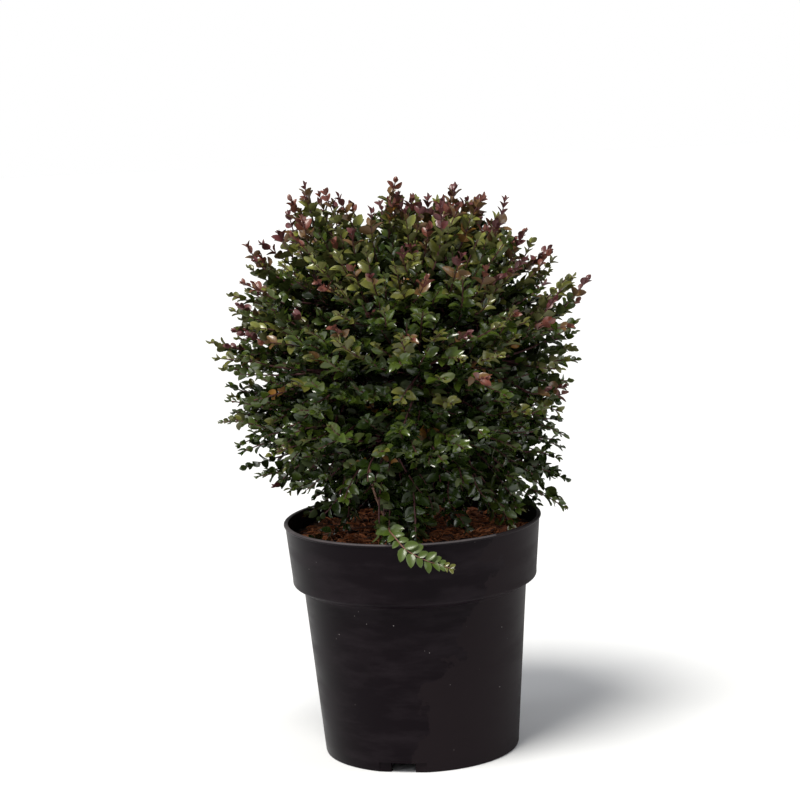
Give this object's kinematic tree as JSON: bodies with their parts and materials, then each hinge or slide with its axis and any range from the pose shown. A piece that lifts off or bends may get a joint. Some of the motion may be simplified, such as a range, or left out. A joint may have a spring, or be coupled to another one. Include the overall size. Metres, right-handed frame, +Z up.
{
  "type": "potted box honeysuckle shrub",
  "caption": "Round evergreen box honeysuckle with small glossy leaves and copper shoot tips, standing in a black tapered nursery pot.",
  "frame": {"origin": "middle of the pot's flat underside", "axes": "+Z up, -Y towards the viewer of the picture, +X to the viewer's right"},
  "size_m": [0.2746, 0.2513, 0.4206],
  "materials": {
    "pot_plastic": "black moulded plastic with a soft sheen and faint scuffs",
    "potting_soil": "reddish brown coir and bark potting mix",
    "bark": "thin purple-brown bark",
    "green_leaves": "small glossy dark green leaves",
    "copper_leaves": "small glossy copper and bronze leaves"
  },
  "bodies": {
    "root": {"pot": "pot_plastic", "soil": "potting_soil", "trunk": "bark", "basal_stem": "bark", "bough_lower_1": "bark", "bough_lower_2": "bark", "bough_lower_3": "bark", "bough_lower_4": "bark", "bough_lower_5": "bark", "bough_lower_6": "bark", "bough_middle_1": "bark", "bough_middle_2": "bark", "bough_middle_3": "bark", "bough_middle_4": "bark", "bough_middle_5": "bark", "bough_middle_6": "bark", "bough_upper_1": "bark", "bough_upper_2": "bark", "bough_upper_3": "bark", "bough_upper_4": "bark", "bough_upper_5": "bark", "bough_top": "bark", "foliage_lower_1": "green_leaves", "foliage_lower_2": "green_leaves", "foliage_lower_3": "green_leaves", "foliage_lower_4": "green_leaves", "foliage_lower_5": "green_leaves", "foliage_lower_6": "green_leaves", "foliage_middle_1": "green_leaves", "foliage_middle_2": "green_leaves", "foliage_middle_3": "green_leaves", "foliage_middle_4": "green_leaves", "foliage_middle_5": "green_leaves", "foliage_middle_6": "green_leaves", "foliage_upper_1": "copper_leaves", "foliage_upper_2": "copper_leaves", "foliage_upper_3": "copper_leaves", "foliage_upper_4": "copper_leaves", "foliage_upper_5": "copper_leaves", "foliage_top": "copper_leaves", "foliage_trailing_front": "green_leaves"}
  },
  "joints": []
}
